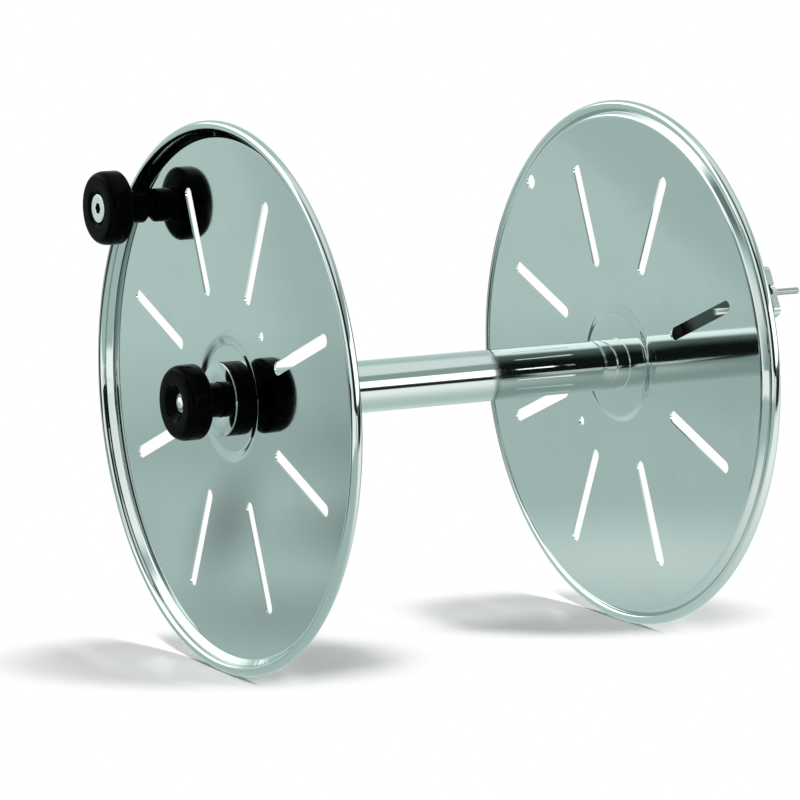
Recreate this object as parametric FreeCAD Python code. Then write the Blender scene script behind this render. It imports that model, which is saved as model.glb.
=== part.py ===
import FreeCAD, Part
import math
import os

# Polished stainless hose winding drum on a fixed spindle, held by a flat arm.
# The frame: Y runs along the spindle, +Z is up, and the origin lies where the spindle's
# axis meets the arm's mounting face. The drum lies towards -Y, and the hand knobs are at
# its far end. Polar angles are taken from +Z towards +X. All sizes are in millimetres.

# Drum
disc_diameter = 420.0       # over the rolled rims
disc_spacing = 350.0        # between the two plates' middle planes
sheet = 1.5                 # plate thickness
core_diameter = 40.0        # tube that the hose is wound on
core_wall = 1.5

# Pressed disc
bead_radius = 4.2           # closed roll at the edge, to its outside
bead_chords = 6             # straight strokes that the roll is drawn with
rim_step_height = 2.15      # the rim seat stands this far outside the plate
rim_step_run = 3.2          # the step rises over this much of the radius
rim_seat_width = 6.0        # flat seat from the step to the roll's middle
hub_plateau_radius = 41.5   # pressed round plateau about the hub
hub_plateau_height = 1.6
hub_step_run = 3.6
hub_hole_radius = 15.0      # clear hole at the disc's centre
slot_count = 8
slot_first_angle = 22.5
slot_inner_radius = 80.5
slot_to_rim = 43.0          # from a slot's outer end to the disc's edge
slot_width = 10.0
handle_hole_radius = 6.0
handle_hole_to_rim = 22.0   # from the handle's axis to the disc's edge
handle_hole_angle = -44.3
tie_hole_radius = 3.75      # small hole for the hose's tie cord
tie_hole_centre = 75.5
tie_hole_angle = 45.0       # on the left disc, and opposite to this on the right one

# Hub stubs, one welded inside each disc, that carry the tube and the bushes
stub_length = 24.0
stub_wall = 3.0
stub_weld_leg = 2.4
stub_spigot_length = 16.0
bush_chamfer = 0.8

# Black collar and steel washer on the left disc's hub, and the brake's friction pad
collar_radius = 28.0
collar_length = 5.05
collar_groove_depth = 0.4
collar_groove_width = 2.4
collar_groove_floor = 1.8
washer_thickness = 1.2
washer_edge = 0.4
pad_radius = 12.5
pad_thickness = 1.6

# Spindle and its fixed stack at the arm
spindle_radius = 8.0
spindle_thread_radius = 5.0
spacer_radius = 13.0
hub_flange_radius = 40.0
hub_flange_length = 11.0
hub_flange_edge = 2.0

# Mounting arm
arm_angle = 63.4
arm_reach = 160.0           # from the spindle's axis to the arm's outer end
arm_width = 40.0
arm_thickness = 6.0
arm_to_disc = 43.5          # from the right plate's middle plane to the arm
arm_corner_radius = 5.0
notch_width = 8.0
notch_to_end = 8.0          # from the stud's axis to the arm's outer end
stud_radius = 2.5
stud_neck_radius = 2.05     # its thread's core, in the arm's notch and the nut
stud_reach = 26.5           # beyond the mounting face
stud_head_radius = 5.5
stud_head_length = 3.0
stud_tip_chamfer = 0.8
nut_width = 8.0
nut_height = 4.0
grip_pad_length = 12.0      # along the arm
grip_pad_height = 3.0
grip_pad_ribs = 7
grip_pad_rib_depth = 0.9
screw_to_end = 45.5         # from the screw's axis to the arm's outer end
screw_radius = 2.5
screw_tip_to_disc = 21.0    # from the right plate's middle plane
screw_head_radius = 5.0
screw_head_depth = 2.5

# Hand knobs, both the same moulding
knob_length = 43.9
knob_head_radius = 28.6
knob_face_radius = 23.5
knob_neck_radius = 13.0
knob_nose_radius = 8.0
knob_nose_length = 5.0
knob_neck_end = 21.5
knob_band_start = 27.0
knob_band_end = 36.0
knob_recess_radius = 14.5   # the recess narrows like a cone
knob_recess_floor = 9.3
knob_recess_depth = 5.6
knob_chords = 4             # straight strokes that each round of the knob is drawn with

# Winding handle's bolt and the tube that it clamps, on which the knob turns
bolt_head_radius = 11.0
bolt_head_height = 2.2
bolt_head_edge = 0.5
bolt_head_sinks = 1.1       # the head's top lies this far inside the knob's face
bolt_socket_width = 8.0
bolt_socket_depth = 3.5
bolt_radius = 5.0
sleeve_wall = 2.0           # metal tube in each knob
bolt_end_beyond_nut = 1.5
handle_washer_radius = 10.0
handle_washer_thickness = 2.0
handle_nut_width = 16.0
handle_nut_height = 5.0

# Brake knob on the spindle's thread
brake_nose_to_disc = 2.4    # its nose stays this far outside the left plate's middle plane
spindle_end_sinks = 3.2     # the spindle's rounded end lies this far inside the knob's face
spindle_end_round = 2.5
thread_pitch = 1.5
brake_turns = 2.0

# Clearances
running_gap = 0.3           # between pieces that move past each other
running_fit = 0.05          # radial, round a turning shaft
seat_fit = 0.05             # radial, between pieces fixed in each other
through = 1.0               # a cutting body stands this far out of what it cuts

# Places along the spindle
right_plate = -(arm_thickness + arm_to_disc)
left_plate = right_plate - disc_spacing
disc_radius = disc_diameter / 2
core_radius = core_diameter / 2
core_bore = core_radius - core_wall
plateau_top = hub_plateau_height + sheet / 2
plateau_back = hub_plateau_height - sheet / 2
handle_hole_centre = disc_radius - handle_hole_to_rim
knob_bore = bolt_radius + seat_fit + sleeve_wall + running_fit
notch_centre = arm_reach - notch_to_end
screw_centre = arm_reach - screw_to_end


def V(x, y, z):
    return FreeCAD.Vector(x, y, z)


def polar(radius, angle):
    # A point (x, z) at a distance from the spindle's axis, angle from +Z towards +X
    a = math.radians(angle)
    return radius * math.sin(a), radius * math.cos(a)


def turned(outline, start=0.0, towards=1):
    # A body of revolution about the Y axis. The outline is a closed run of (radius, along)
    # points, with along measured from start, towards +Y or -Y.
    points = [V(r, start + towards * along, 0) for r, along in outline]
    face = Part.Face(Part.makePolygon(points + [points[0]]))
    return solid_of(face.revolve(V(0, 0, 0), V(0, 1, 0), 360))


def solid_of(shape):
    # One closed solid with its faces turned outwards
    solid = shape if shape.ShapeType == "Solid" else Part.makeSolid(shape)
    if solid.Volume < 0:
        solid.reverse()
    return solid


def ring(outer, inner, low, high):
    # A plain collar about the Y axis, between two places along it
    low, high = min(low, high), max(low, high)
    return turned([(inner, low), (outer, low), (outer, high), (inner, high)])


def rod(radius, low, high, x=0.0, z=0.0):
    low, high = min(low, high), max(low, high)
    return Part.makeCylinder(radius, high - low, V(x, low, z), V(0, 1, 0))


def hexagon(width, low, high, x=0.0, z=0.0, turn=0.0):
    # A six-sided bar along Y, width across its flats
    low, high = min(low, high), max(low, high)
    corner = width / math.sqrt(3)
    points = []
    for side in range(7):
        dx, dz = polar(corner, turn + 60 * side)
        points.append(V(x + dx, low, z + dz))
    return Part.Face(Part.makePolygon(points)).extrude(V(0, high - low, 0))


def moved(shape, x, z):
    copy = shape.copy()
    copy.translate(V(x, 0, z))
    return copy


def about_spindle(shape, angle):
    # Turned from the +Z direction towards +X
    copy = shape.copy()
    copy.rotate(V(0, 0, 0), V(0, 1, 0), angle)
    return copy


def quarter_round(corner, start, end, chords):
    # Points after start, up to end, on a quarter ellipse that bulges towards the corner
    points = []
    for number in range(1, chords + 1):
        a = math.radians(90 * number / chords)
        points.append(tuple(s + (c - s) * math.sin(a) + (e - c) * (1 - math.cos(a))
                            for s, c, e in zip(start, corner, end)))
    return points


def sheet_outline(line, thickness):
    # The cut outline of a bent sheet, from the (radius, along) points of its middle line.
    # Both sides keep half the thickness from it and meet in mitres at its corners.
    headings = [math.atan2(b[1] - a[1], b[0] - a[0]) for a, b in zip(line, line[1:])]
    before, after = [headings[0]] + headings, headings + [headings[-1]]
    sides = ([], [])
    for (r, y), h0, h1 in zip(line, before, after):
        bend = (h1 - h0 + math.pi) % (2 * math.pi) - math.pi
        reach, across = thickness / 2 / math.cos(bend / 2), h0 + bend / 2
        for side, away in zip(sides, (reach, -reach)):
            side.append((r - away * math.sin(across), y + away * math.cos(across)))
    return sides[0] + sides[1][::-1]


def pressed_disc():
    # The bare pressing at the origin, with the drum towards -Y and the rim rolled towards
    # +Y: a raised plateau at the hub, a flat plate, a step, a seat and the rolled rim
    roll_radius = disc_radius - bead_radius
    roll_along = rim_step_height - sheet / 2 + bead_radius
    plate_end = roll_radius - rim_seat_width - rim_step_run
    plate = turned(sheet_outline([
        (hub_hole_radius, hub_plateau_height), (hub_plateau_radius, hub_plateau_height),
        (hub_plateau_radius + hub_step_run, 0), (plate_end, 0),
        (plate_end + rim_step_run, rim_step_height), (roll_radius, rim_step_height)], sheet))
    roll = []
    for number in range(bead_chords):
        out, along = polar(bead_radius, 360 * number / bead_chords)
        roll.append((roll_radius + out, roll_along + along))
    disc = plate.fuse(turned(roll))
    return disc.cut(Part.makeCompound([slot_cut(i) for i in range(slot_count)]))


def slot_cut(index):
    # One radial slot with round ends, as a block that goes right through the plate
    half, deep = slot_width / 2, sheet / 2 + through
    low, high = slot_inner_radius + half, disc_radius - slot_to_rim - half
    block = Part.makeBox(slot_width, 2 * deep, high - low, V(-half, -deep, low))
    for z in (low, high):
        block = block.fuse(rod(half, -deep, deep, 0, z))
    return about_spindle(block.removeSplitter(), slot_first_angle + 360 / slot_count * index)


def plate_hole(radius, centre, angle):
    x, z = polar(centre, angle)
    return rod(radius, -sheet / 2 - through, sheet / 2 + through, x, z)


def make_discs():
    # Both discs are pressed alike. The right one faces +Y and the left one is turned end
    # for end. Each has a handle hole at the same angle, and its own tie hole.
    right = pressed_disc()
    left = right.copy()
    left.rotate(V(0, 0, 0), V(0, 0, 1), 180)
    handle_hole = plate_hole(handle_hole_radius, handle_hole_centre, handle_hole_angle)
    left = left.cut(handle_hole.fuse(plate_hole(tie_hole_radius, tie_hole_centre,
                                                tie_hole_angle)))
    right = right.cut(handle_hole.fuse(plate_hole(tie_hole_radius, tie_hole_centre,
                                                  tie_hole_angle + 180)))
    left.translate(V(0, left_plate, 0))
    right.translate(V(0, right_plate, 0))
    return left, right


def make_stub(plate, inwards):
    # Turned stub: a weld fillet at the disc, a length that matches the tube's outside and
    # a spigot that the tube is pushed over
    inner = core_radius - stub_wall
    spigot = core_bore - seat_fit
    base = -plateau_back
    return turned([
        (inner, base), (core_radius + stub_weld_leg, base),
        (core_radius, base + stub_weld_leg), (core_radius, stub_length), (spigot, stub_length),
        (spigot, stub_length + stub_spigot_length), (inner, stub_length + stub_spigot_length),
    ], plate, inwards)


def make_tube():
    return ring(core_radius, core_bore, left_plate + stub_length, right_plate - stub_length)


def make_bush(plate, inwards):
    # Plastic bearing bush, pressed into a stub, just clear of what presses against it
    inner = spindle_radius + running_fit
    outer = core_radius - stub_wall - seat_fit
    start = running_gap + pad_thickness - brake_nose_to_disc
    return turned([
        (inner, start), (outer - bush_chamfer, start), (outer, start + bush_chamfer),
        (outer, stub_length), (inner, stub_length)], plate, inwards)


def make_hub_collar():
    # Round collar with one shallow groove, flat against the hub's plateau
    outer, bore, low = collar_radius, hub_hole_radius, plateau_top
    high = low + collar_length
    middle, floor = (low + high) / 2, outer - collar_groove_depth
    return turned([
        (bore, low), (outer, low), (outer, middle - collar_groove_width / 2),
        (floor, middle - collar_groove_floor / 2), (floor, middle + collar_groove_floor / 2),
        (outer, middle + collar_groove_width / 2), (outer, high), (bore, high)],
        left_plate, -1)


def make_hub_washer():
    low = plateau_top + collar_length
    return turned([(hub_hole_radius, low), (collar_radius, low),
                   (collar_radius, low + washer_thickness - washer_edge),
                   (collar_radius - washer_edge, low + washer_thickness),
                   (hub_hole_radius, low + washer_thickness)], left_plate, -1)


def make_knob(nose):
    # A hand knob whose face looks towards -Y: a tapered nose, a plain neck, a domed back, a
    # band, a rounded front and a recess that narrows inwards
    neck, band = (knob_neck_radius, knob_neck_end), (knob_head_radius, knob_band_start)
    shoulder, face = (knob_head_radius, knob_band_end), (knob_face_radius, knob_length)
    outline = [(knob_bore, 0), (knob_nose_radius, 0), (knob_neck_radius, knob_nose_length), neck]
    outline += quarter_round((knob_head_radius, knob_neck_end), neck, band, knob_chords)
    outline.append(shoulder)
    outline += quarter_round((knob_head_radius, knob_length), shoulder, face, knob_chords)
    floor = knob_length - knob_recess_depth
    outline += [(knob_recess_radius, knob_length), (knob_recess_floor, floor), (knob_bore, floor)]
    return turned(outline, nose, -1)


def socket_cut(width, depth, top, x=0.0, z=0.0):
    # Hexagon socket, sunk towards +Y from a head's outer face
    return hexagon(width, top, top + depth, x, z, 30)


def make_handle():
    # The winding knob turns freely on a tube, which its bolt clamps to the left disc
    x, z = polar(handle_hole_centre, handle_hole_angle)
    front, back = left_plate - sheet / 2, left_plate + sheet / 2
    nose = front - running_gap
    head_top = nose - knob_length + bolt_head_sinks
    head_seat = head_top + bolt_head_height
    washer_end = back + handle_washer_thickness
    nut_end = washer_end + handle_nut_height
    hole = bolt_radius + seat_fit
    sleeve = ring(hole + sleeve_wall, hole, head_seat, front)
    head = turned([
        (0, 0), (bolt_head_radius, 0), (bolt_head_radius, bolt_head_height - bolt_head_edge),
        (bolt_head_radius - bolt_head_edge, bolt_head_height), (0, bolt_head_height)],
        head_seat, -1)
    bolt = head.fuse(rod(bolt_radius, head_seat, nut_end + bolt_end_beyond_nut))
    bolt = bolt.cut(socket_cut(bolt_socket_width, bolt_socket_depth, head_top))
    washer = ring(handle_washer_radius, hole, back, washer_end)
    nut = hexagon(handle_nut_width, washer_end, nut_end)
    nut = nut.cut(rod(hole, washer_end - through, nut_end + through))
    pieces = {"handle_grip": make_knob(nose), "handle_sleeve": sleeve, "handle_bolt": bolt,
              "handle_washer": washer, "handle_nut": nut}
    return {name: moved(piece, x, z) for name, piece in pieces.items()}


def make_brake():
    # The brake knob screws along the spindle's thread and squeezes the drum against the
    # spacer through a friction pad
    nose = left_plate - brake_nose_to_disc
    face = nose - knob_length
    pad = ring(pad_radius, spindle_radius + running_gap, nose, nose + pad_thickness)
    insert = ring(knob_bore, spindle_thread_radius + running_fit, nose, face + knob_recess_depth)
    pieces = {"brake_pad": pad, "brake_knob": make_knob(nose), "brake_insert": insert}
    return pieces, face + spindle_end_sinks, nose


def make_spindle(thread_end, shoulder):
    # Plain shaft from the arm's mounting face to the brake's pad, then the thread, drawn
    # as its plain outside cylinder, with a rounded end that shows in the knob's recess
    round_start = thread_end + spindle_end_round
    corner, start = (spindle_thread_radius, thread_end), (spindle_thread_radius, round_start)
    outline = [(0, 0), (spindle_radius, 0), (spindle_radius, shoulder + running_gap),
               (spindle_thread_radius, shoulder + running_gap), start]
    return turned(outline + quarter_round(corner, start, (0, thread_end), knob_chords))


def make_spacer():
    bore = spindle_radius + seat_fit
    start = right_plate + brake_nose_to_disc - pad_thickness
    return ring(spacer_radius, bore, start, -arm_thickness - hub_flange_length)


def make_hub_flange():
    # Round black flange between the spacer and the arm
    low = -arm_thickness - hub_flange_length
    bore = spindle_radius + seat_fit
    return turned([(bore, low), (hub_flange_radius - hub_flange_edge, low),
                   (hub_flange_radius, low + hub_flange_edge),
                   (hub_flange_radius, -arm_thickness), (bore, -arm_thickness)])


def arm_place(distance, offset=0.0):
    # A point (x, z) on the arm, offset to the side
    x, z = polar(distance, arm_angle)
    dx, dz = polar(offset, arm_angle + 90)
    return x + dx, z + dz


def make_arm():
    # Flat bar with a round end at the spindle and a notched square end
    half = arm_width / 2
    bar = Part.makeBox(arm_width, arm_thickness, arm_reach, V(-half, -arm_thickness, 0))
    corners = [e for e in bar.Edges if abs(e.CenterOfMass.z - arm_reach) < 1e-6
               and abs(abs(e.CenterOfMass.x) - half) < 1e-6]
    bar = bar.makeFillet(arm_corner_radius, corners)
    bar = bar.fuse(rod(half, -arm_thickness, 0))
    low, deep = -arm_thickness - through, arm_thickness + 2 * through
    notch = Part.makeBox(notch_width, deep, notch_to_end + through,
                         V(-notch_width / 2, low, notch_centre))
    notch = notch.fuse(rod(notch_width / 2, low, through, 0, notch_centre))
    screw = turned([
        (0, -screw_head_depth), (screw_radius + seat_fit, -screw_head_depth),
        (screw_head_radius + seat_fit, 0), (0, 0)])
    bar = bar.cut(notch).cut(rod(spindle_radius + seat_fit, low, through))
    bar = bar.cut(rod(screw_radius + seat_fit, low, 0, 0, screw_centre))
    bar = bar.cut(moved(screw, 0, screw_centre))
    return about_spindle(bar.removeSplitter(), arm_angle)


def make_arm_screw():
    # Countersunk screw, flush with the mounting face, its end towards the drum
    tip = right_plate + screw_tip_to_disc
    screw = turned([
        (0, tip), (screw_radius - stud_tip_chamfer, tip),
        (screw_radius, tip + stud_tip_chamfer), (screw_radius, -screw_head_depth),
        (screw_head_radius, 0), (0, 0)])
    return moved(screw, *arm_place(screw_centre))


def make_stud():
    # Headed stud that sits in the arm's notch and stands out of the mounting face
    seat = -arm_thickness
    stud = turned([
        (0, seat - stud_head_length), (stud_head_radius - stud_tip_chamfer,
                                       seat - stud_head_length),
        (stud_head_radius, seat - stud_head_length + stud_tip_chamfer),
        (stud_head_radius, seat), (stud_neck_radius, seat),
        (stud_neck_radius, nut_height), (stud_radius, nut_height),
        (stud_radius, stud_reach - stud_tip_chamfer),
        (stud_radius - stud_tip_chamfer, stud_reach), (0, stud_reach)])
    x, z = arm_place(notch_centre)
    nut = hexagon(nut_width, 0, nut_height, x, z, arm_angle)
    nut = nut.cut(rod(stud_neck_radius + seat_fit, -through, nut_height + through, x, z))
    return moved(stud, x, z), nut


def make_grip_pads():
    # Two ribbed pads on the arm's drum side, one each side of the stud's head
    inner = stud_head_radius + running_gap
    side = (arm_width - arm_corner_radius) / 2 - inner
    pitch = grip_pad_length / grip_pad_ribs
    crest, back = -arm_thickness - grip_pad_height, -arm_thickness
    outline = [V(0, back, 0)]
    for rib in range(grip_pad_ribs):
        outline += [V(0, crest + grip_pad_rib_depth, pitch * rib),
                    V(0, crest, pitch * (rib + 0.5))]
    outline += [V(0, crest + grip_pad_rib_depth, grip_pad_length), V(0, back, grip_pad_length)]
    pad = Part.Face(Part.makePolygon(outline + [outline[0]])).extrude(V(side, 0, 0))
    pads = []
    for offset in (-inner - side, inner):
        copy = pad.copy()
        copy.translate(V(offset, 0, arm_reach - arm_corner_radius - grip_pad_length))
        pads.append(about_spindle(copy, arm_angle))
    return Part.makeCompound(pads)


def build():
    left_disc, right_disc = make_discs()
    nodes = {"left_disc": left_disc, "right_disc": right_disc, "core_tube": make_tube(),
             "left_stub": make_stub(left_plate, 1), "right_stub": make_stub(right_plate, -1),
             "left_bush": make_bush(left_plate, 1), "right_bush": make_bush(right_plate, -1),
             "hub_collar": make_hub_collar(), "hub_washer": make_hub_washer()}
    nodes.update(make_handle())
    brake, thread_end, shoulder = make_brake()
    nodes.update(brake)
    nodes["spindle"] = make_spindle(thread_end, shoulder)
    nodes["spacer_tube"] = make_spacer()
    nodes["hub_flange"] = make_hub_flange()
    nodes["mounting_arm"] = make_arm()
    nodes["arm_screw"] = make_arm_screw()
    nodes["mounting_stud"], nodes["stud_nut"] = make_stud()
    nodes["grip_pads"] = make_grip_pads()
    return nodes


os.makedirs("parts", exist_ok=True)
for name, shape in build().items():
    shape.exportStep("parts/" + name + ".step")
    print(name, "volume", round(shape.Volume, 1), "solids", len(shape.Solids),
          "valid", shape.isValid())
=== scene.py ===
# We keep the box of the frame, because nothing we add may outgrow it.

import math

import bpy
import bmesh
import numpy as np
from mathutils import Matrix, Vector


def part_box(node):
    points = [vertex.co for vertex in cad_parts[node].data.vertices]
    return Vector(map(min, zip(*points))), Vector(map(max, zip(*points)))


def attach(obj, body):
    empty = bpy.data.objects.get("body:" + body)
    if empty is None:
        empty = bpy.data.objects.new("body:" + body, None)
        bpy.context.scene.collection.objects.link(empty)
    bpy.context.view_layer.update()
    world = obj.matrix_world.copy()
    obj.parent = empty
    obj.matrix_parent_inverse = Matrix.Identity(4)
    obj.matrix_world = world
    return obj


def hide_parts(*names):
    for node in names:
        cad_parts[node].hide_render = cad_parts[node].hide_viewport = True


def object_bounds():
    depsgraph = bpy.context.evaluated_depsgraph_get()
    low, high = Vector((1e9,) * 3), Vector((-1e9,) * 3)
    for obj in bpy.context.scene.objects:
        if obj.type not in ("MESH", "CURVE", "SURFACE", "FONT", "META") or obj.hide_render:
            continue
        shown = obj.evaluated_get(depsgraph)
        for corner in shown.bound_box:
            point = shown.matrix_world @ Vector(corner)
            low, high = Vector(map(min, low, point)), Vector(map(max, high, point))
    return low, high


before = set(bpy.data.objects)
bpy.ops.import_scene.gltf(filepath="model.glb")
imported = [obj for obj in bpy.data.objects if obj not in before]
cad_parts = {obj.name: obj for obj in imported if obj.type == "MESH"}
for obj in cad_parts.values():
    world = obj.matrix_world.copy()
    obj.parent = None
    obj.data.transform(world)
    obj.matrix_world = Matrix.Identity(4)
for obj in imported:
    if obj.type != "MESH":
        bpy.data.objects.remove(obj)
cad_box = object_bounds()
MM = 0.001

# %% [markdown]
# # Where things sit
# The solids already know where each piece is, so we read places from their boxes instead of
# typing them twice. Along the spindle, each disc's plate is found from its outermost face,
# and the winding knob's axis is the middle of its grip.

# %% Places read from the frame
def span(node):
    """Lowest and highest corner of a solid, in millimetres, as two arrays."""
    low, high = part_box(node)
    return np.array(low) / MM, np.array(high) / MM


SHEET = 1.5
DISH = 1.6
disc_radius = (span("left_disc")[1][0] - span("left_disc")[0][0]) / 2
left_plate = span("left_disc")[1][1] - SHEET / 2
right_plate = span("right_disc")[0][1] + SHEET / 2
grip_low, grip_high = span("handle_grip")
grip_x, grip_z = (grip_low[0] + grip_high[0]) / 2, (grip_low[2] + grip_high[2]) / 2
knob_high = span("brake_knob")[1]
print("disc radius", round(disc_radius, 2), "plates at", round(left_plate, 2), round(right_plate, 2))
print("winding knob axis", round(grip_x, 2), round(grip_z, 2))

# %% [markdown]
# # Turned surfaces
# Nearly every piece here is round: it was spun, turned or moulded. A round piece is its half
# section carried about an axis, so one function covers them all. The section's corners get
# small arcs first, because no real edge is perfectly sharp, and those arcs catch the light.

# %% Sections with rounded corners
def rounded(corners, closed=True, steps=5):
    """Section points (radius, along) of a polygon whose corners are rounded.

    Each corner is (radius, along, round). A corner's arc has its centre on the corner's
    bisector, at round / sin(half angle), and runs between the two tangent points."""
    corners = [tuple(c) + (0,) * (3 - len(c)) for c in corners]
    points = []
    for i, (r, a, bend) in enumerate(corners):
        here = np.array([r, a])
        if bend <= 0 or (not closed and i in (0, len(corners) - 1)):
            points.append(here[None])
            continue
        back = np.array(corners[i - 1][:2]) - here
        onward = np.array(corners[(i + 1) % len(corners)][:2]) - here
        back, onward = back / np.linalg.norm(back), onward / np.linalg.norm(onward)
        half = math.acos(np.clip(back @ onward, -1, 1)) / 2
        if half > math.radians(89):
            points.append(here[None])
            continue
        middle = (back + onward) / np.linalg.norm(back + onward)
        centre = here + middle * bend / math.sin(half)
        start, end = back * bend / math.tan(half), onward * bend / math.tan(half)
        t = np.linspace(-1, 1, steps)[:, None] * (math.pi / 2 - half)
        side = (end - start) / np.linalg.norm(end - start)
        points.append(centre - middle * bend * np.cos(t) + side * bend * np.sin(t))
    return np.concatenate(points)


def quarter(corner, start, end, steps=12):
    """Points after start up to end on a quarter ellipse that bulges towards the corner."""
    t = np.linspace(0, math.pi / 2, steps + 1)[1:, None]
    s, c, e = np.array(start), np.array(corner), np.array(end)
    return [tuple(p) for p in s + (c - s) * np.sin(t) + (e - c) * (1 - np.cos(t))]


square = [(1, 0, 0.2), (2, 0, 0.2), (2, 1, 0.2), (1, 1, 0.2)]
print("a square with rounded corners has", len(rounded(square)), "points")

# %% Meshes from grids of points
WELDED = 2e-7


def grid_faces(rows, columns, wrap_rows, wrap_columns):
    """Corner numbers of the quads between neighbours on a grid numbered row by row."""
    i, j = np.meshgrid(np.arange(rows if wrap_rows else rows - 1),
                       np.arange(columns if wrap_columns else columns - 1), indexing="ij")
    i2, j2 = (i + 1) % rows, (j + 1) % columns
    return np.stack([i * columns + j, i * columns + j2, i2 * columns + j2, i2 * columns + j],
                    -1).reshape(-1, 4)


def piece(name, points, faces, body, paint, hides=(), crease=35):
    """One mesh object from points in millimetres, riding on a body of the frame.

    Points closer than a weld's length become one, faces are turned outwards, and edges that
    bend by more than the crease, in degrees, stay sharp."""
    mesh = bpy.data.meshes.new(name)
    mesh.from_pydata((np.asarray(points).reshape(-1, 3) * MM).tolist(), [], [list(f) for f in faces])
    b = bmesh.new()
    b.from_mesh(mesh)
    bmesh.ops.remove_doubles(b, verts=b.verts, dist=WELDED)
    bmesh.ops.recalc_face_normals(b, faces=b.faces)
    b.to_mesh(mesh)
    b.free()
    mesh.shade_smooth()
    mesh.set_sharp_from_angle(angle=math.radians(crease))
    obj = bpy.data.objects.new(name, mesh)
    bpy.context.scene.collection.objects.link(obj)
    obj.data.materials.append(paint)
    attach(obj, body)
    if hides:
        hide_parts(*hides)
    return obj


def turned_grid(section, start=0.0, towards=1, x=0.0, z=0.0, around=160):
    """Grid of a section about an axis along Y: (x + r sin t, start + towards a, z + r cos t)."""
    t = np.linspace(0, 2 * math.pi, around, endpoint=False)[None, :]
    r, a = section[:, 0][:, None], section[:, 1][:, None]
    return np.stack([x + r * np.sin(t), start + towards * a + 0 * t, z + r * np.cos(t)], -1)


def turned(name, section, body, node_slot, paint, closed=True, hides=(), **place):
    """A round piece: its section carried about an axis. An open section starts and ends on it."""
    points = turned_grid(section, **place)
    faces = grid_faces(points.shape[0], points.shape[1], closed, True)
    return piece(name, points, faces, body, paint, hides)


print("three rings of four points close to", len(grid_faces(3, 4, True, True)), "quads")

# %% [markdown]
# # Shader sums as plain expressions
# A finish is a handful of sums: lines of polish, a little dust, a change of gloss. Blender
# writes sums as nodes, and wiring each by hand hides the idea. This small class wraps one
# socket, so that 1 - mask * 0.2 in Python adds the Math nodes for us.

# %% A socket that can be added and multiplied
class Signal:
    """One output socket of a node tree, with the arithmetic that the finishes below use."""

    def __init__(self, tree, socket):
        self.tree, self.socket = tree, socket

    def sum_with(self, operation, *others, first=None):
        """Adds one Math node on this signal and the others, or on first before this one."""
        node = self.tree.nodes.new("ShaderNodeMath")
        node.operation = operation
        for place, value in enumerate([self if first is None else first, *others]):
            if isinstance(value, Signal):
                self.tree.links.new(value.socket, node.inputs[place])
            else:
                node.inputs[place].default_value = value
        return Signal(self.tree, node.outputs[0])

    def __add__(self, other): return self.sum_with("ADD", other)
    def __radd__(self, other): return self + other
    def __sub__(self, other): return self.sum_with("SUBTRACT", other)
    def __rsub__(self, other): return self.sum_with("SUBTRACT", self, first=other)
    def __mul__(self, other): return self.sum_with("MULTIPLY", other)
    def __rmul__(self, other): return self * other
    def __truediv__(self, other): return self.sum_with("DIVIDE", other)
    def __pow__(self, power): return self.sum_with("POWER", power)
    def __gt__(self, other): return self.sum_with("GREATER_THAN", other)


print("sums", sorted(m.strip("_") for m in vars(Signal) if callable(vars(Signal)[m])))

# %% A tree with one method for every other node
class Tree:
    """A node tree with one method for every other kind of node."""

    def __init__(self, tree):
        self.tree = tree
        self.tree.nodes.clear()

    def node(self, kind, settings=None, inputs=None, output=0):
        """Adds a node, sets its settings first, then fills or links its sockets."""
        node = self.tree.nodes.new(kind)
        for key, value in (settings or {}).items():
            setattr(node, key, value)
        for key, value in (inputs or {}).items():
            if isinstance(value, Signal):
                self.tree.links.new(value.socket, node.inputs[key])
            else:
                node.inputs[key].default_value = value
        return Signal(self.tree, node.outputs[output]) if node.outputs else Signal(self.tree, None)

    def outputs(self, signal, names):
        """Further outputs of the node that a signal comes from."""
        return [Signal(self.tree, signal.socket.node.outputs[name]) for name in names]

    def parts(self, vector):
        """The three numbers of a vector."""
        return self.outputs(self.node("ShaderNodeSeparateXYZ", None, {0: vector}), "XYZ")

    def place(self):
        """Object coordinates in metres, which stay with a piece when it moves."""
        return self.node("ShaderNodeTexCoord", output=3)

    def vector(self, x, y, z):
        """A vector from three signals or numbers."""
        return self.node("ShaderNodeCombineXYZ", None, {0: x, 1: y, 2: z})

    def noise(self, where, scale, detail=3.0, roughness=0.5):
        """Cloudy values from about 0 to 1, with scale clouds to a unit of where."""
        return self.node("ShaderNodeTexNoise", None, {"Vector": where, "Scale": scale,
                                                       "Detail": detail, "Roughness": roughness})

    def smooth(self, value, low, high, to_low=0.0, to_high=1.0):
        """Goes softly from to_low to to_high while value goes from low to high."""
        return self.node("ShaderNodeMapRange", {"interpolation_type": "SMOOTHSTEP"},
                         {"Value": value, "From Min": low, "From Max": high,
                          "To Min": to_low, "To Max": to_high})

    def blend(self, share, one, other):
        """A colour between two colours."""
        return self.node("ShaderNodeMix", {"data_type": "RGBA"}, {0: share, 6: one, 7: other}, 2)

    def bump(self, height, distance):
        """A normal tilted by the slope of height times distance, in metres."""
        return self.node("ShaderNodeBump", None, {"Strength": 1.0, "Distance": distance,
                                                   "Height": height})

    def by_ray(self, seen, mirrored, rest):
        """A shader that gives the camera, mirrors and all other rays what each should see."""
        path = self.node("ShaderNodeLightPath")
        camera, mirror = self.outputs(path, ("Is Camera Ray", "Is Glossy Ray"))
        others = self.node("ShaderNodeMixShader", None, {0: mirror, 1: rest, 2: mirrored})
        return self.node("ShaderNodeMixShader", None, {0: camera, 1: others, 2: seen})


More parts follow.
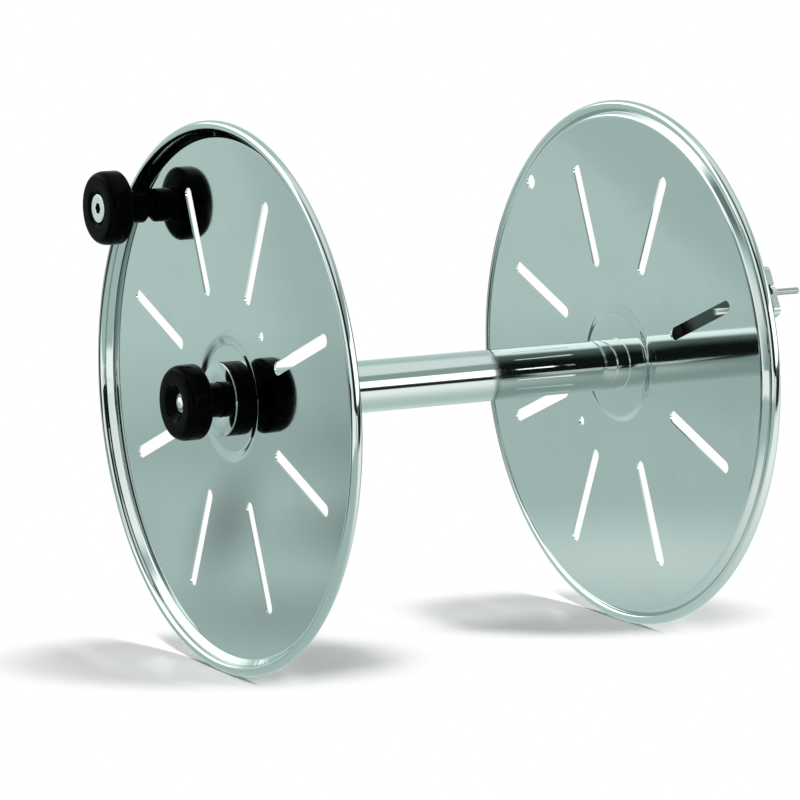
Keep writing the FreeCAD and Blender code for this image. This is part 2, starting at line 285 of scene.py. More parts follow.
def finish(name, metallic=0.0, **surface):
    """A material with a Principled surface, and its tree, ready for signals."""
    material = bpy.data.materials.new(name)
    material.use_nodes = True
    tree = Tree(material.node_tree)
    shader = tree.node("ShaderNodeBsdfPrincipled", None, {"Metallic": metallic, **surface})
    tree.node("ShaderNodeOutputMaterial", None, {"Surface": shader})
    tree.surface = shader.socket.node
    return material, tree


def feed(tree, **signals):
    """Links signals into sockets of the tree's surface, named with _ for a space."""
    for name, signal in signals.items():
        tree.tree.links.new(signal.socket, tree.surface.inputs[name.replace("_", " ")])


BLACK = (0, 0, 0, 1)
print("nodes", sorted(m.strip("_") for m in vars(Tree) if callable(vars(Tree)[m])))

# %% [markdown]
# # Polished sheet steel
# The discs and the tube are stainless steel, polished until they mirror the knobs. A real
# polish is never a perfect mirror: the cloth leaves fine rings, hands leave faint clouds, and
# pressed sheet is a little wavy. So the colour is a cool metal, the gloss changes slightly
# from place to place, and very shallow rings bend the reflections.

# %% Polished steel, ringed about the spindle
STEEL = (0.50, 0.55, 0.5375, 1)
RIM_POLISH = (0.1965, 0.1985)


def polished(name, ring_scale, lines, wave, rough, clouds=0.06):
    """Mirror steel: rings of noise over the distance from the spindle and over the length,
    faint clouds that darken and dull it, and wide shallow dents. The rings are deeper from
    the disc's slant outwards, where a wheel polished the spinning rim."""
    material, t = finish(name, metallic=1.0)
    coords = t.place()
    x, y, z = t.parts(coords)
    radius = (x * x + z * z) ** 0.5
    rings = t.noise(t.vector(radius * ring_scale, y * ring_scale, 0.0), 1.0, 4.0, 0.7)
    cloud = t.noise(coords, 9.0, 2.0, 0.5)
    smudge = t.smooth(t.noise(coords, 26.0, 5.0, 0.6), 0.52, 0.72)
    shade = 1 - cloud * clouds - smudge * 0.03
    dents = t.noise(coords, 14.0, 1.0, 0.4)
    height = rings * (t.smooth(radius, *RIM_POLISH) * 0.004 + lines) + dents * wave
    feed(t, Base_Color=t.blend(shade, BLACK, STEEL), Normal=t.bump(height, MM),
         Roughness=rough + cloud * 0.02 + smudge * 0.02 + rings * 0.01)
    return material


disc_steel = polished("disc_steel", 1400.0, 0.0002, 0.03, 0.035)
tube_steel = polished("tube_steel", 900.0, 0.006, 0.01, 0.04, 0.03)
print("steel finishes", disc_steel.name, tube_steel.name)

# %% [markdown]
# # Black mouldings, screws and the bracket's steel
# The knobs are compression-moulded black plastic: nearly black, glossy, with a skin like
# fine orange peel. Screw heads are turned, so their rings run about their own axis. The arm
# is flat bar, brushed along its length. The rest is plated steel, rubber and plain plastic.

# %% Moulded black
SKIN_IOR = 1.07


def moulded(name, shade, rough, peel):
    """Black moulding: fine noise for the skin, and dust where a coarser noise is high."""
    material, t = finish(name, IOR=SKIN_IOR)
    coords = t.place()
    skin = t.noise(coords, 900.0, 2.0, 0.5)
    dust = t.smooth(t.noise(coords, 60.0, 4.0, 0.6), 0.45, 0.8)
    clean, grey = (shade, shade * 1.1, shade, 1), (shade * 3, shade * 3.2, shade * 3, 1)
    feed(t, Base_Color=t.blend(dust * 0.25, clean, grey), Normal=t.bump(skin, peel),
         Roughness=rough + dust * 0.06 + skin * 0.02)
    return material


knob_black = moulded("knob_black", 0.0015, 0.10, 0.00001)
collar_black = moulded("collar_black", 0.0015, 0.14, 0.00001)
flange_black = moulded("flange_black", 0.010, 0.38, 0.00004)
print("black finishes", knob_black.name, collar_black.name, flange_black.name)

# %% Turned, plated and brushed steel
def turned_steel(name, colour, rough, axis_x=0.0, axis_z=0.0, rings=3000.0, socket=None):
    """Turned steel: rings of noise about an axis along Y, and stains. A socket, given by its
    reach and depth in millimetres, is darkened inside as painted shade, where hardly any light gets in."""
    material, t = finish(name, metallic=1.0)
    coords = t.place()
    x, y, z = t.parts(coords)
    dx, dz = x - axis_x * MM, z - axis_z * MM
    radius = (dx * dx + dz * dz) ** 0.5
    lines = t.noise(t.vector(radius * rings, y * rings, 0.0), 1.0, 2.0, 0.6)
    stain = t.noise(coords, 70.0, 3.0, 0.5)
    shade = 1 - stain * 0.15 - lines * 0.08
    # Painted shade: inside the socket the colour is darkened to stand in for the shade there.
    if socket:
        reach, depth = socket
        shade = shade * (1 - (y > depth * MM) * (reach * MM - radius > 0.0) * 0.93)
    feed(t, Base_Color=t.blend(shade, BLACK, colour), Normal=t.bump(lines, 0.000004),
         Roughness=rough + stain * 0.08 + lines * 0.08)
    return material


spindle_steel = turned_steel("spindle_steel", (0.60, 0.66, 0.65, 1), 0.22)
tip_steel = turned_steel("tip_steel", (0.95, 0.97, 0.96, 1), 0.34)
# Painted shade for the bolt's hexagon socket: its reach, and the depth where the darkening starts.
SOCKET_PAINTED_SHADE = (4.7, span("handle_bolt")[0][1] + 0.3)
screw_face = turned_steel("screw_face", (0.93, 0.95, 0.94, 1), 0.34, grip_x, grip_z, 5000.0,
                          SOCKET_PAINTED_SHADE)
stud_steel = turned_steel("stud_steel", (0.36, 0.40, 0.39, 1), 0.16)
plated = turned_steel("plated", (0.66, 0.70, 0.68, 1), 0.28, rings=700.0)

ARM_ANGLE = math.radians(63.4)


def brushed_bar(name, colour, rough):
    """Brushed bar: noise stretched along the arm, in the arm's own along and across, and stains."""
    material, t = finish(name, metallic=1.0)
    coords = t.place()
    x, y, z = t.parts(coords)
    along = x * math.sin(ARM_ANGLE) + z * math.cos(ARM_ANGLE)
    across = x * math.cos(ARM_ANGLE) - z * math.sin(ARM_ANGLE)
    grain = t.noise(t.vector(across * 900.0, y * 900.0, along * 14.0), 1.0, 4.0, 0.65)
    stain = t.noise(coords, 40.0, 3.0, 0.5)
    shade = 1 - stain * 0.12 - grain * 0.18
    feed(t, Base_Color=t.blend(shade, BLACK, colour), Normal=t.bump(grain, 0.00001),
         Roughness=rough + grain * 0.12 + stain * 0.05)
    return material


bar_steel = brushed_bar("bar_steel", (0.58, 0.64, 0.62, 1), 0.22)


def plain(name, colour, rough, grain, depth):
    """Rubber or bearing plastic: one noise speckles the colour, the gloss and the surface."""
    material, t = finish(name)
    speck = t.noise(t.place(), grain, 4.0, 0.6)
    dark = tuple(c * 0.75 for c in colour[:3]) + (1,)
    feed(t, Base_Color=t.blend(speck, dark, colour), Normal=t.bump(speck, depth),
         Roughness=rough + speck * 0.1)
    return material


bush_plastic = plain("bush_plastic", (0.55, 0.54, 0.50, 1), 0.45, 500.0, 0.00002)
pad_rubber = plain("pad_rubber", (0.035, 0.036, 0.036, 1), 0.55, 700.0, 0.00005)
print("finishes", len(bpy.data.materials))

# %% [markdown]
# # The pressed discs
# Each disc is one sheet: a shallow dish at the hub, the flat plate, a slant and a rolled
# rim. The solid frame draws a simpler section with straight strokes, which would show as
# facets in a mirror, so we turn our own section with true arcs, inside the same outline. The
# slots and holes are then cut with a Boolean, because a slot crosses the rings of a turned
# grid, and a small bevel gives the cut edges the thin bright line that sheared sheet has.

# %% The disc's section
# The roll has the radius BEAD, and its centre stands BEAD_RISE outside the plate. The slant
# starts CONE_START inside the disc's edge and climbs CONE_RISE. Two plain rings, near the dish
# and near the slant, keep the shading of the plate between them flat.
BEAD, BEAD_RISE = 4.2, 5.6
CONE_START, CONE_RISE = 12.4, 4.2
DISH_RADIUS, DISH_RUN, HUB_HOLE = 41.5, 5.2, 17.0
DISH_BEND, RIM_BEND = 13.0, 3.0
INNER_RING, OUTER_RING, ROLL_STEPS = 6.0, 3.0, 48


def cone_end(r, a, slope):
    """Angle on the roll's circle where a slanted face of the sheet, leaving (r, a), meets it.

    With the circle's centre at (dr, da) from there, the face's line reaches the circle at
    near - sqrt(near^2 - dr^2 - da^2 + BEAD^2), where near is the centre's share along it."""
    along, up = math.cos(slope), math.sin(slope)
    dr, da = disc_radius - BEAD - r, BEAD_RISE - a
    near = dr * along + da * up
    reach = near - math.sqrt(near ** 2 - dr ** 2 - da ** 2 + BEAD ** 2)
    return math.atan2(reach * up - da, reach * along - dr)


def sheet_section():
    """Closed section of the pressing: outboard face outwards, the roll, inboard face back.

    The two faces are the middle line moved half a sheet each way, and bends get arcs whose
    inner and outer radii differ by the sheet, as bent metal's do. The sheet slants outwards
    to the closed roll at the rim and ends on its circle."""
    roll_r, half = disc_radius - BEAD, SHEET / 2
    plate_end = disc_radius - CONE_START
    inner_ring, outer_ring = DISH_RADIUS + DISH_RUN + INNER_RING, plate_end - OUTER_RING
    join = roll_r - math.sqrt(BEAD ** 2 - (BEAD_RISE - CONE_RISE) ** 2)
    hub_slope = math.atan2(-DISH, DISH_RUN)
    rim_slope = math.atan2(CONE_RISE, join - plate_end)
    hub_shift, rim_shift = half * math.tan(hub_slope / 2), half * math.tan(rim_slope / 2)
    first = cone_end(plate_end - rim_shift, half, rim_slope) % (2 * math.pi)
    last = cone_end(plate_end + rim_shift, -half, rim_slope) % (2 * math.pi) - 2 * math.pi
    t = np.linspace(first, last, ROLL_STEPS)
    roll = np.stack([roll_r + BEAD * np.cos(t), BEAD_RISE + BEAD * np.sin(t)], 1)
    outboard = rounded([
        (HUB_HOLE, half - DISH), (DISH_RADIUS + hub_shift, half - DISH, DISH_BEND),
        (DISH_RADIUS + DISH_RUN + hub_shift, half, DISH_BEND + SHEET),
        (inner_ring, half), (outer_ring, half),
        (plate_end - rim_shift, half, RIM_BEND), tuple(roll[0])], closed=False)
    inboard = rounded([
        tuple(roll[-1]), (plate_end + rim_shift, -half, RIM_BEND + SHEET),
        (outer_ring, -half), (inner_ring, -half),
        (DISH_RADIUS + DISH_RUN - hub_shift, -half, DISH_BEND),
        (DISH_RADIUS - hub_shift, -DISH - half, DISH_BEND + SHEET), (HUB_HOLE, -DISH - half)],
        closed=False)
    return np.concatenate([outboard[:-1], roll, inboard[1:]])


print("disc section", len(sheet_section()), "points")

# %% Cutters for the slots and holes
SLOT_FIRST, SLOT_COUNT, SLOT_WIDTH, SLOT_IN, SLOT_TO_RIM = 22.5, 8, 10.0, 80.5, 43.0
HANDLE_HOLE, TIE_HOLE, TIE_AT, TIE_ANGLE = 6.0, 3.75, 75.5, 45.0
hole_angle = math.degrees(math.atan2(grip_x, grip_z))
hole_at = math.hypot(grip_x, grip_z)


def stadium(inner, outer, half, angle, steps=16):
    """Outline of a radial slot: two half circles of radius half, joined by straight sides."""
    t = np.linspace(0, math.pi, steps)
    far = np.stack([half * np.cos(t), outer - half + half * np.sin(t)], 1)
    near = np.stack([-half * np.cos(t), inner + half - half * np.sin(t)], 1)
    p = np.concatenate([far, near])
    a = math.radians(angle)
    return np.stack([p[:, 0] * math.cos(a) + p[:, 1] * math.sin(a),
                     p[:, 1] * math.cos(a) - p[:, 0] * math.sin(a)], 1)


def circle(radius, distance, angle, steps=40):
    """Outline of a round hole at a distance and angle from the spindle."""
    t = np.linspace(0, 2 * math.pi, steps, endpoint=False)
    a = math.radians(angle)
    return np.stack([distance * math.sin(a) + radius * np.sin(t),
                     distance * math.cos(a) + radius * np.cos(t)], 1)


def prisms(outlines, low, high):
    """Points and faces of straight-sided plugs along Y, one for each outline."""
    points, faces, base = [], [], 0
    for p in outlines:
        n = len(p)
        points += [np.stack([p[:, 0], np.full(n, y), p[:, 1]], 1) for y in (low, high)]
        faces += (grid_faces(2, n, False, True) + base).tolist()
        faces += [list(range(base, base + n)), list(range(base + 2 * n - 1, base + n - 1, -1))]
        base += 2 * n
    return np.concatenate(points), faces


print("slot outline", len(stadium(SLOT_IN, disc_radius - SLOT_TO_RIM, SLOT_WIDTH / 2, 0.0)), "points")

# %% Turn, cut and bevel the discs
PLUG_REACH, CUT_EDGE, DISC_COLUMNS = 5.0, 0.22, 288


def pressed_disc(name, plate, outboard, handle_angle, tie_angle):
    """The turned section with its slots and holes cut out, outboard towards +Y (1) or -Y (-1)."""
    grid = turned_grid(sheet_section(), plate, outboard, around=DISC_COLUMNS)
    obj = piece(name, grid, grid_faces(*grid.shape[:2], True, True), "drum",
                disc_steel, hides=[name.replace("_pressing", "")])
    outlines = [stadium(SLOT_IN, disc_radius - SLOT_TO_RIM, SLOT_WIDTH / 2,
                        SLOT_FIRST + 360 / SLOT_COUNT * i) for i in range(SLOT_COUNT)]
    outlines += [circle(HANDLE_HOLE, hole_at, handle_angle), circle(TIE_HOLE, TIE_AT, tie_angle)]
    points, faces = prisms(outlines, plate - PLUG_REACH, plate + PLUG_REACH)
    plugs = piece("plugs", points, faces, "drum", disc_steel)
    cut = obj.modifiers.new("slots", "BOOLEAN")
    cut.object, cut.operation, cut.solver = plugs, "DIFFERENCE", "EXACT"
    edge = obj.modifiers.new("edges", "BEVEL")
    edge.width, edge.segments = CUT_EDGE * MM, 2
    edge.limit_method, edge.angle_limit = "ANGLE", math.radians(60)
    even = obj.modifiers.new("normals", "WEIGHTED_NORMAL")
    even.keep_sharp = True
    bpy.context.view_layer.update()
    depsgraph = bpy.context.evaluated_depsgraph_get()
    solid = bpy.data.meshes.new_from_object(obj.evaluated_get(depsgraph))
    obj.modifiers.clear()
    obj.data = solid
    bpy.data.objects.remove(plugs)
    print(name, len(solid.polygons), "faces")


pressed_disc("left_disc_pressing", left_plate, -1, hole_angle, TIE_ANGLE)
pressed_disc("right_disc_pressing", right_plate, 1, hole_angle, TIE_ANGLE - 180)

# %% [markdown]
# # The tube and its stubs
# The hose winds on a thin tube that is pushed over a short stub at each disc. The stub and
# the tube have the same outside, so only a hairline shows where they meet, and a low weld
# runs round the foot of each stub.

# %% Tube, stubs and welds
CORE, CORE_BORE, STUB_BORE, STUB_LENGTH, SPIGOT, WELD = 20.0, 18.5, 17.0, 24.0, 16.0, 0.6
JOINT_EDGE, SPIGOT_FIT = 0.06, 0.05
tube_length = right_plate - left_plate - 2 * STUB_LENGTH
turned("winding_tube", rounded([(CORE_BORE, 0), (CORE, 0, JOINT_EDGE), (CORE, tube_length, JOINT_EDGE),
                                (CORE_BORE, tube_length)]),
       "drum", "polished_steel", tube_steel, hides=["core_tube"], start=left_plate + STUB_LENGTH)

# A weld is hollow: its quarter circle is turned half a turn about the middle of its square
foot, spigot = DISH + SHEET / 2, CORE_BORE - SPIGOT_FIT
bulge = quarter((CORE, foot), (CORE, foot + WELD), (CORE + WELD, foot), 8)
weld = [(2 * CORE + WELD - r, 2 * foot + WELD - a) for r, a in bulge]
stub_section = np.concatenate([
    [(STUB_BORE, foot), (CORE + WELD, foot)], weld[1:],
    rounded([(CORE, foot + WELD), (CORE, STUB_LENGTH, JOINT_EDGE), (spigot, STUB_LENGTH),
             (spigot, STUB_LENGTH + SPIGOT), (STUB_BORE, STUB_LENGTH + SPIGOT)], closed=False)])
for name, plate, inwards in (("left_stub", left_plate, 1), ("right_stub", right_plate, -1)):
    turned(name + "_turning", stub_section, "drum", "polished_steel", tube_steel, hides=[name],
           start=plate, towards=inwards)
print("tube", round(tube_length, 1), "mm long")

# %% [markdown]
# # The hand knobs
# Both knobs come from one mould: a tapered nose, a plain neck, a domed back, a band, a
# rounded front and a recess that narrows like a cone. A knob is all soft rounds, so its
# section is made of quarter ellipses, with small arcs where two stretches meet.

# %% Knob section and the two knobs
KNOB = {"length": 43.9, "head": 28.6, "face": 23.5, "neck": 13.0, "nose": 8.0, "nose_length": 5.0,
        "neck_end": 21.5, "band": (27.0, 36.0), "recess": (14.5, 9.3, 5.6), "bore": 7.1}


def knob_section():
    """Section of a hand knob from its nose to the floor of its recess."""
    k, (lip, floor, depth) = KNOB, KNOB["recess"]
    back = quarter((k["head"], k["neck_end"]), (k["neck"], k["neck_end"]), (k["head"], k["band"][0]))
    front = quarter((k["head"], k["length"]), (k["head"], k["band"][1]), (k["face"], k["length"]))
    nose = rounded([(k["bore"], 0), (k["nose"], 0, 0.6), (k["neck"], k["nose_length"], 1.5),
                    (k["neck"], k["neck_end"], 1.0), back[1]], closed=False)
    dish = rounded([front[-2], (k["face"], k["length"]), (lip, k["length"], 0.5),
                    (floor, k["length"] - depth, 0.3), (k["bore"], k["length"] - depth)], closed=False)
    return np.concatenate([nose[:-1], np.array(back[1:]), np.array(front[:-1]), dish[1:]])


turned("winding_knob_moulding", knob_section(), "winding_knob", "black_knob", knob_black,
       hides=["handle_grip"], start=grip_high[1], towards=-1, x=grip_x, z=grip_z)
turned("brake_knob_moulding", knob_section(), "brake_turner", "black_knob", knob_black,
       hides=["brake_knob"], start=knob_high[1], towards=-1)
print("knob section", len(knob_section()), "points")

# %% [markdown]
# # The winding bolt
# The bolt is one grid of turn against length. Its face is a flat ring between a hexagon and a
# round edge, so each column starts on the hexagon and ends on the circle. Further along, the
# last stretch is a thread: a cylinder whose radius rises and falls along a helix, because it
# depends on length / pitch minus turn.

# %% A socket head, a shank and a thread as one grid
def hexagon_reach(t, across):
    """Distance from the centre to a hexagon's side in direction t, for its width across flats."""
    return across / 2 / np.cos((t + math.pi / 6) % (math.pi / 3) - math.pi / 6)


HEAD = {"radius": 11.0, "height": 2.2, "edge": 0.5, "across": 8.0, "depth": 3.5}
SHANK, PITCH, THREAD_LENGTH, POINT = 5.0, 1.5, 12.0, 0.8
THREAD_DEPTH, SOCKET_EDGE, SOCKET_FLOOR = 0.55 * PITCH, 0.25, 0.05
COLUMNS, THREAD_ROWS = 144, 121
bolt_low, bolt_high = span("handle_bolt")
turn = np.linspace(0, 2 * math.pi, COLUMNS, endpoint=False)
hexagon = hexagon_reach(turn, HEAD["across"])
flat_end = HEAD["radius"] - HEAD["edge"]
rows = [(0 * turn, HEAD["depth"]), (hexagon - SOCKET_FLOOR, HEAD["depth"]),
        (hexagon, HEAD["depth"] - SOCKET_FLOOR), (hexagon, SOCKET_EDGE), (hexagon + SOCKET_EDGE, 0.0)]
rows += [(hexagon + (flat_end - hexagon) * share, 0.0) for share in (0.35, 0.7, 1.0)]
rows += [(0 * turn + flat_end + HEAD["edge"] * math.sin(a), HEAD["edge"] * (1 - math.cos(a)))
         for a in np.linspace(0.2, math.pi / 2, 6)]
rows += [(0 * turn + HEAD["radius"], HEAD["height"]), (0 * turn + SHANK, HEAD["height"])]
bolt_length = bolt_high[1] - bolt_low[1]
for along in np.linspace(bolt_length - THREAD_LENGTH, bolt_length, THREAD_ROWS):
    wave = (1 - np.cos(2 * math.pi * (along / PITCH - turn / (2 * math.pi)))) / 2
    ends = min((along - bolt_length + THREAD_LENGTH) / POINT, 1.0)
    point = SHANK - max(0.0, POINT - (bolt_length - along))
    rows.append((np.minimum(SHANK - THREAD_DEPTH * wave * ends, point), along))
rows.append((0 * turn, bolt_length))
points = np.stack([np.stack([grip_x + r * np.sin(turn), 0 * turn + bolt_low[1] + a,
                             grip_z + r * np.cos(turn)], 1) for r, a in rows])
piece("winding_bolt", points, grid_faces(len(rows), COLUMNS, False, True), "drum",
      screw_face, hides=["handle_bolt"], crease=40)
print("bolt", round(bolt_length, 1), "mm long")

# %% [markdown]
# # The spindle
# The spindle is a plain turned shaft with a shoulder. Its thread stays inside the brake knob,
# and only its domed end shows, like a small lens in the knob's recess.

# %% Spindle with a domed end
spindle_low, spindle_high = span("spindle")
SHAFT, TIP, DOME, PAD_GAP = 8.0, 5.0, 2.5, 0.3
shoulder, dome_start = span("brake_pad")[0][1] + PAD_GAP, spindle_low[1] + DOME
turned("spindle_turning", rounded([
    (0, spindle_high[1]), (SHAFT, spindle_high[1]), (SHAFT, shoulder, 0.3), (TIP, shoulder),
    (TIP, dome_start), (0, dome_start)], closed=False),
    "bracket", "turned_steel", spindle_steel, closed=False, hides=["spindle"], around=96)
dome = quarter((TIP, spindle_low[1]), (TIP, dome_start), (0, spindle_low[1]))
turned("spindle_dome", np.array([(0, dome_start), (TIP, dome_start)] + dome[1:]),
       "bracket", "turned_steel", tip_steel, closed=False, around=96)
print("spindle", round(spindle_high[1] - spindle_low[1], 1), "mm long")

# %% [markdown]
# # Washer, collar and the stack behind the right disc
# A plain moulded collar stands in the dish of the left hub, and a polished washer lies on it.
# Behind the right disc, a spacer and a black flange carry the drum clear of the arm. They
# are plain turnings, so only their edges need care.

# %% Hub collar, hub washer, spacer and flange
collar_low, collar_high = span("hub_collar")
washer_low, washer_high = span("hub_washer")
COLLAR, WASHER_BORE = collar_high[0], 13.5
SHAFT_BORE, SPACER, FLANGE, FLANGE_NOSE, FLANGE_EDGE = 8.05, 13.0, 40.0, 38.0, 2.0
collar_seat = left_plate + DISH - SHEET / 2
collar_length, washer_length = collar_seat - collar_low[1], washer_high[1] - washer_low[1]
turned("hub_collar_moulding", rounded([(HUB_HOLE, 0), (COLLAR, 0, 0.3), (COLLAR, collar_length, 0.3),
                                       (HUB_HOLE, collar_length)]),
       "drum", "black_collar", collar_black, hides=["hub_collar"], start=collar_seat, towards=-1)
turned("hub_washer_ring", rounded([(WASHER_BORE, 0, 0.1), (COLLAR, 0, 0.1),
                                   (COLLAR, washer_length, 0.15), (WASHER_BORE, washer_length, 0.2)]),
       "drum", "polished_steel", tube_steel, hides=["hub_washer"], start=washer_high[1], towards=-1)

spacer_low, spacer_high = span("spacer_tube")
spacer_length = spacer_high[1] - spacer_low[1]
turned("spacer_turning", rounded([(SHAFT_BORE, 0), (SPACER, 0, 0.5), (SPACER, spacer_length, 0.3),
                                  (SHAFT_BORE, spacer_length)]),
       "bracket", "turned_steel", spindle_steel, hides=["spacer_tube"], start=spacer_low[1])
flange_low, flange_high = span("hub_flange")
flange_length = flange_high[1] - flange_low[1]
turned("hub_flange_turning", rounded([(SHAFT_BORE, 0), (FLANGE_NOSE, 0, 0.8),
                                      (FLANGE, FLANGE_EDGE, 0.8), (FLANGE, flange_length, 0.4),
                                      (SHAFT_BORE, flange_length)]),
       "bracket", "black_flange", flange_black, hides=["hub_flange"], start=flange_low[1])
print("collar", round(collar_length, 2), "spacer", round(spacer_length, 1),
      "flange", round(flange_length, 1))

# %% [markdown]
# # Finishes for the solids that stay
# The arm with its screw, stud and pads, the bushes, the knobs' metal tubes and the small
# washers and nuts are right as they are, so they keep their solids from the frame and only
# get a finish. Each solid has one material slot to fill.

# %% Give the remaining solids their finish
kept = {
    "mounting_arm": bar_steel, "arm_screw": screw_face,
    "mounting_stud": stud_steel, "stud_nut": plated, "grip_pads": pad_rubber,
    "left_bush": bush_plastic, "right_bush": bush_plastic, "handle_washer": plated,
    "handle_nut": plated, "handle_sleeve": plated, "brake_pad": pad_rubber, "brake_insert": plated,
}
for node, paint in kept.items():
    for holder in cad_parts[node].material_slots:
        holder.material = paint
print("solids with a finish", len(kept))

# %% [markdown]
# # The floor
# The drum stands on the rims of its discs on a pale floor. The floor has to look white and
# still hold the drum's soft shadow, so the camera sees a plain pale surface inside two ovals
# about the discs' feet, and plain white further out. Polished steel mirrors the floor too,
# and what it mirrors gives the metal its look, so mirrors see a third thing: a tone by place.

# %% The floor and where a tone lies on it
FLOOR_HALF = 12.0
WHITE, COOL, PALE = (1, 1, 1, 1), (0.81, 1.0, 0.965, 1), (0.97, 1, 0.99, 1)
floor_level = cad_box[0][2]
floor_mesh = bpy.data.meshes.new("floor")
corners = [(i * FLOOR_HALF, j * FLOOR_HALF, floor_level) for i, j in ((-1, -1), (1, -1), (1, 1), (-1, 1))]
floor_mesh.from_pydata(corners, [], [(0, 1, 2, 3)])
floor = bpy.data.objects.new("floor", floor_mesh)
bpy.context.scene.collection.objects.link(floor)

pale = bpy.data.materials.new("pale_floor")
pale.use_nodes = True
floor.data.materials.append(pale)
t = Tree(pale.node_tree)
x, y = t.parts(t.place())[:2]


def patch(x0, y0, radius):
    """1 at a place on the floor, fading to 0 at a radius round it."""
    return t.smooth(((x - x0) * (x - x0) + (y - y0) * (y - y0)) ** 0.5, 0.0, radius, 1.0, 0.0)


def oval(x0, y0, length, width):
    """1 inside an oval that lies level in the picture, fading to 0 round its edge."""
    along, across = (x - x0) * 0.5 + (y - y0) * 0.866, (x - x0) * 0.866 - (y - y0) * 0.5
    reach = (along * along / (length * length) + across * across / (width * width)) ** 0.5
    return t.smooth(reach, 0.70, 1.25, 1.0, 0.0)


def tint(tree, level, low, high):
    """Cool grey below a level of brightness and nearly white above it."""
    return tree.blend(tree.smooth(level, low, high), COOL, PALE)


print("floor at", round(floor_level, 4))

# %% What the camera sees of the floor
matt = t.node("ShaderNodeBsdfDiffuse", None, {"Color": (0.95, 0.95, 0.95, 1)})
lift = t.node("ShaderNodeEmission", None, {"Color": WHITE, "Strength": 0.03})
near = t.node("ShaderNodeAddShader", None, {0: matt, 1: lift})
white = t.node("ShaderNodeEmission", None, {"Color": WHITE, "Strength": 1.0})
feet = oval(-0.043, -0.398, 0.150, 0.095) + oval(-0.044, -0.066, 0.142, 0.085)
seen = t.node("ShaderNodeMixShader", None, {0: feet, 1: white, 2: near})
print("nodes for the camera's floor", len(pale.node_tree.nodes))

# %% What mirrors see of the floor
# Bright areas: next to the drum and towards the camera for the tube, and beside the left disc
# for the slant of its rim
front = t.smooth(x, -0.05, 0.42) * t.smooth(y, -0.45, -0.15)
camera_side = t.smooth(x, 0.78, 1.05) * t.smooth(y, -0.42, -0.58)
beside = t.smooth(x, -0.40, -0.20) * t.smooth(x, 1.00, 0.70) * t.smooth(y, -1.15, -1.35)
# Dark areas: they give the tube its dark lines, and the rims and the discs' steps theirs
far_left = t.smooth(y - x * 0.42, 0.05, 0.20) * t.smooth(x, -0.25, -0.60)
far_ahead = t.smooth(x, 0.80, 1.20) * t.smooth(y, -0.5, -0.2)
near_ahead = (t.smooth(x, 0.80, 1.00) * t.smooth(y + x * 0.55, 0.05, -0.05)
              * t.smooth(y + x * 0.75, -0.05, 0.05))
shade = t.smooth(x * 0.5 - y, 0.60, 0.72) * t.smooth(x, -0.25, -0.45) * t.smooth(x, -1.60, -1.40)
# Soft steps of grey in the two plates: a darker strip, and a long soft streak
beyond = t.smooth(x * 0.5 - y, 0.47, 0.56) * t.smooth(x - y, 0.60, 0.45)
across, along = x * 0.505 - y * 0.863 - 0.312, x * 0.863 + y * 0.505 + 0.828
streak = t.smooth((across * across * 90 + along * along) ** 0.5, 0.0, 0.42, 1.0, 0.0)

tone = 0.82 + (front + camera_side) * 0.72 + patch(-0.20, -0.20, 0.35) * 0.27
tone = tone + t.smooth(x, -1.20, -1.75) * 0.11 - patch(-0.90, -0.95, 0.36) * 0.12
tone = tone - streak * 0.34 - beyond * 0.14 - patch(-0.15, -0.52, 0.22) * 0.20
tone = (tone + beside * 0.85) * (1 - patch(-0.36, -0.93, 0.32) * 0.95) * (1 - near_ahead * 0.97)
tone = tone * (1 - shade * 0.93) * (1 - far_ahead * 0.98) * (1 - far_left * 0.8)
mirrored = t.node("ShaderNodeEmission", None, {"Color": tint(t, tone, 0.85, 1.3), "Strength": tone})
t.node("ShaderNodeOutputMaterial", None, {"Surface": t.by_ray(seen, mirrored, matt)})
print("nodes of the floor", len(pale.node_tree.nodes))

# %% [markdown]
# # The studio
# Above the floor, polished steel shows the room. Ours is a soft studio that the world shader
# paints by direction. Beyond the drum the walls are pale, and on the camera's side of them
# stand a dark line at the floor, a bright panel, a greyer gap and a paler ceiling. On the
# near side, where the photographer stands, the room is dark, with a bright screen at the left
# and a smaller light beside it. Other rays see a faint plain white, and two broad lamps high
# overhead give the floor its soft shadow.

# %% The room that mirrors see
world = bpy.data.worlds.new("studio")
bpy.context.scene.world = world
world.use_nodes = True
w = Tree(world.node_tree)
dx, dy, dz = w.parts(w.node("ShaderNodeTexCoord", output=0))
ahead = w.smooth(dx, 0.05, 0.30)
panel = ahead * w.smooth(dz, 0.04, 0.06) * w.smooth(dz, 0.42, 0.47, 1.0, 0.0)
gap = ahead * w.smooth(dz, 0.42, 0.50) * w.smooth(dz, 0.70, 0.78, 1.0, 0.0)
ceiling = w.smooth(dz, 0.70, 0.78) * w.smooth(dx, -0.45, -0.15)
line = ahead * w.smooth(dz, 0.03, 0.06, 1.0, 0.0)
far_room = 0.90 + panel * 1.8 - gap * 0.34 + ceiling * 0.36 - line * 0.75
low = w.smooth(dx, -0.40, -0.50) * w.smooth(dz, 0.24, 0.34, 1.0, 0.0)
screen = w.smooth(dx, -0.04, -0.36) * (1 - low * 0.78) * w.smooth(dx - dz * 0.6, -0.42, -0.52)
side_light = w.smooth(dy, -0.70, -0.82) * w.smooth(dx, 0.62, 0.48) * w.smooth(dx, -0.25, -0.05)
near_room = 0.02 + w.smooth(dx, 0.55, -0.05) * 0.33 + screen * 2.5 + side_light * 1.3
far_side = w.smooth(dy + dz * 0.3, -0.22, 0.12)
room = far_side * far_room + (1 - far_side) * near_room
print("nodes of the room", len(world.node_tree.nodes))

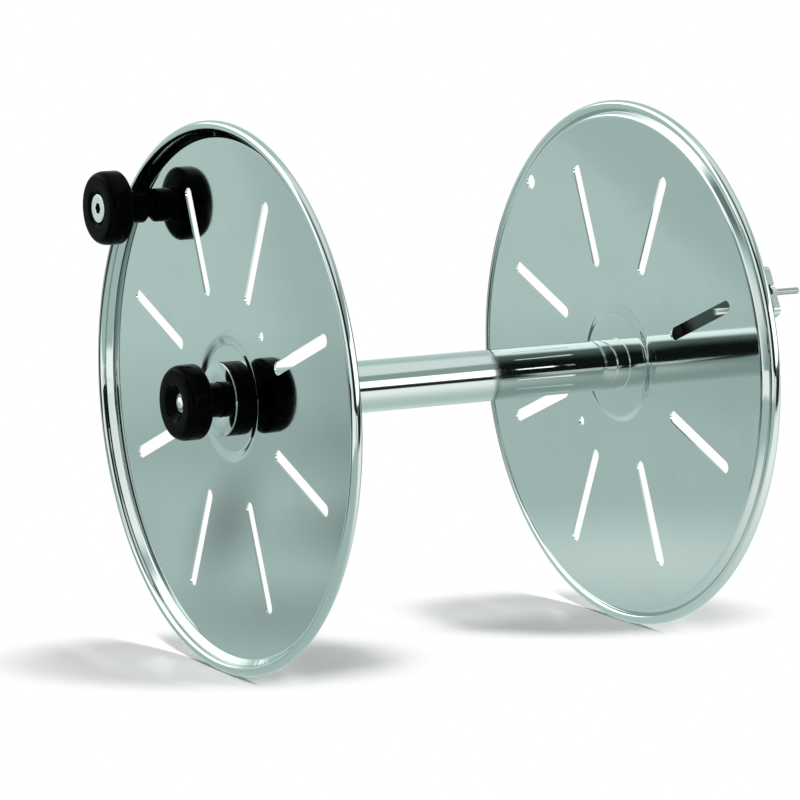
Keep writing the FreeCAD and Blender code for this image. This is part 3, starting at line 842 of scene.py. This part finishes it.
# %% The world and two lamps
studio = w.node("ShaderNodeBackground", None, {"Color": tint(w, room, 0.95, 1.4), "Strength": room})
soft = w.node("ShaderNodeBackground", None, {"Color": WHITE, "Strength": 0.03})
plain_white = w.node("ShaderNodeBackground", None, {"Color": WHITE, "Strength": 1.0})
w.node("ShaderNodeOutputWorld", None, {"Surface": w.by_ray(plain_white, studio, soft)})

LAMP_LENGTH, LAMP_WIDTH, LAMP_POWER = 2.0, 0.4, 106.0
LAMP_OUT, LAMP_HEIGHT, LAMP_DROP = 1.45, 4.0, 4.2
middle_y = (cad_box[0][1] + cad_box[1][1]) / 2
for name, out in (("lamp_left", -LAMP_OUT), ("lamp_right", LAMP_OUT)):
    softbox = bpy.data.lights.new(name, "AREA")
    softbox.shape, softbox.size, softbox.size_y = "RECTANGLE", LAMP_LENGTH, LAMP_WIDTH
    softbox.energy = LAMP_POWER
    lamp = bpy.data.objects.new(name, softbox)
    lamp.location = (0.0, middle_y + out, LAMP_HEIGHT)
    lamp.rotation_euler = (-math.atan2(out, LAMP_DROP), 0.0, 0.0)
    lamp.visible_glossy = False
    bpy.context.scene.collection.objects.link(lamp)
print("lamps", len(bpy.data.lights))

# %% [markdown]
# # The camera
# The photograph was taken from about three metres with a long lens, a little above the
# drum's middle. The place, the direction and the lens were worked out from the ellipses of
# the two discs and from their slots.

# %% Camera
EYE = Vector((2.5538, -1.7264, 0.4430))
LOOK = Vector((-0.85571, 0.49437, -0.15281))
RIGHT = Vector((0.50086, 0.86552, -0.00459))
UP = Vector((-0.12999, 0.08046, 0.98824))
lens = bpy.data.cameras.new("camera")
lens.lens, lens.sensor_width, lens.clip_end = 174.06, 36.0, 100.0
camera = bpy.data.objects.new("camera", lens)
camera.matrix_world = Matrix.Translation(EYE) @ Matrix((RIGHT, UP, -LOOK)).transposed().to_4x4()
bpy.context.scene.collection.objects.link(camera)
bpy.context.scene.camera = camera
bpy.context.scene.view_settings.view_transform = "Standard"
print("camera at", tuple(EYE), "lens", lens.lens)
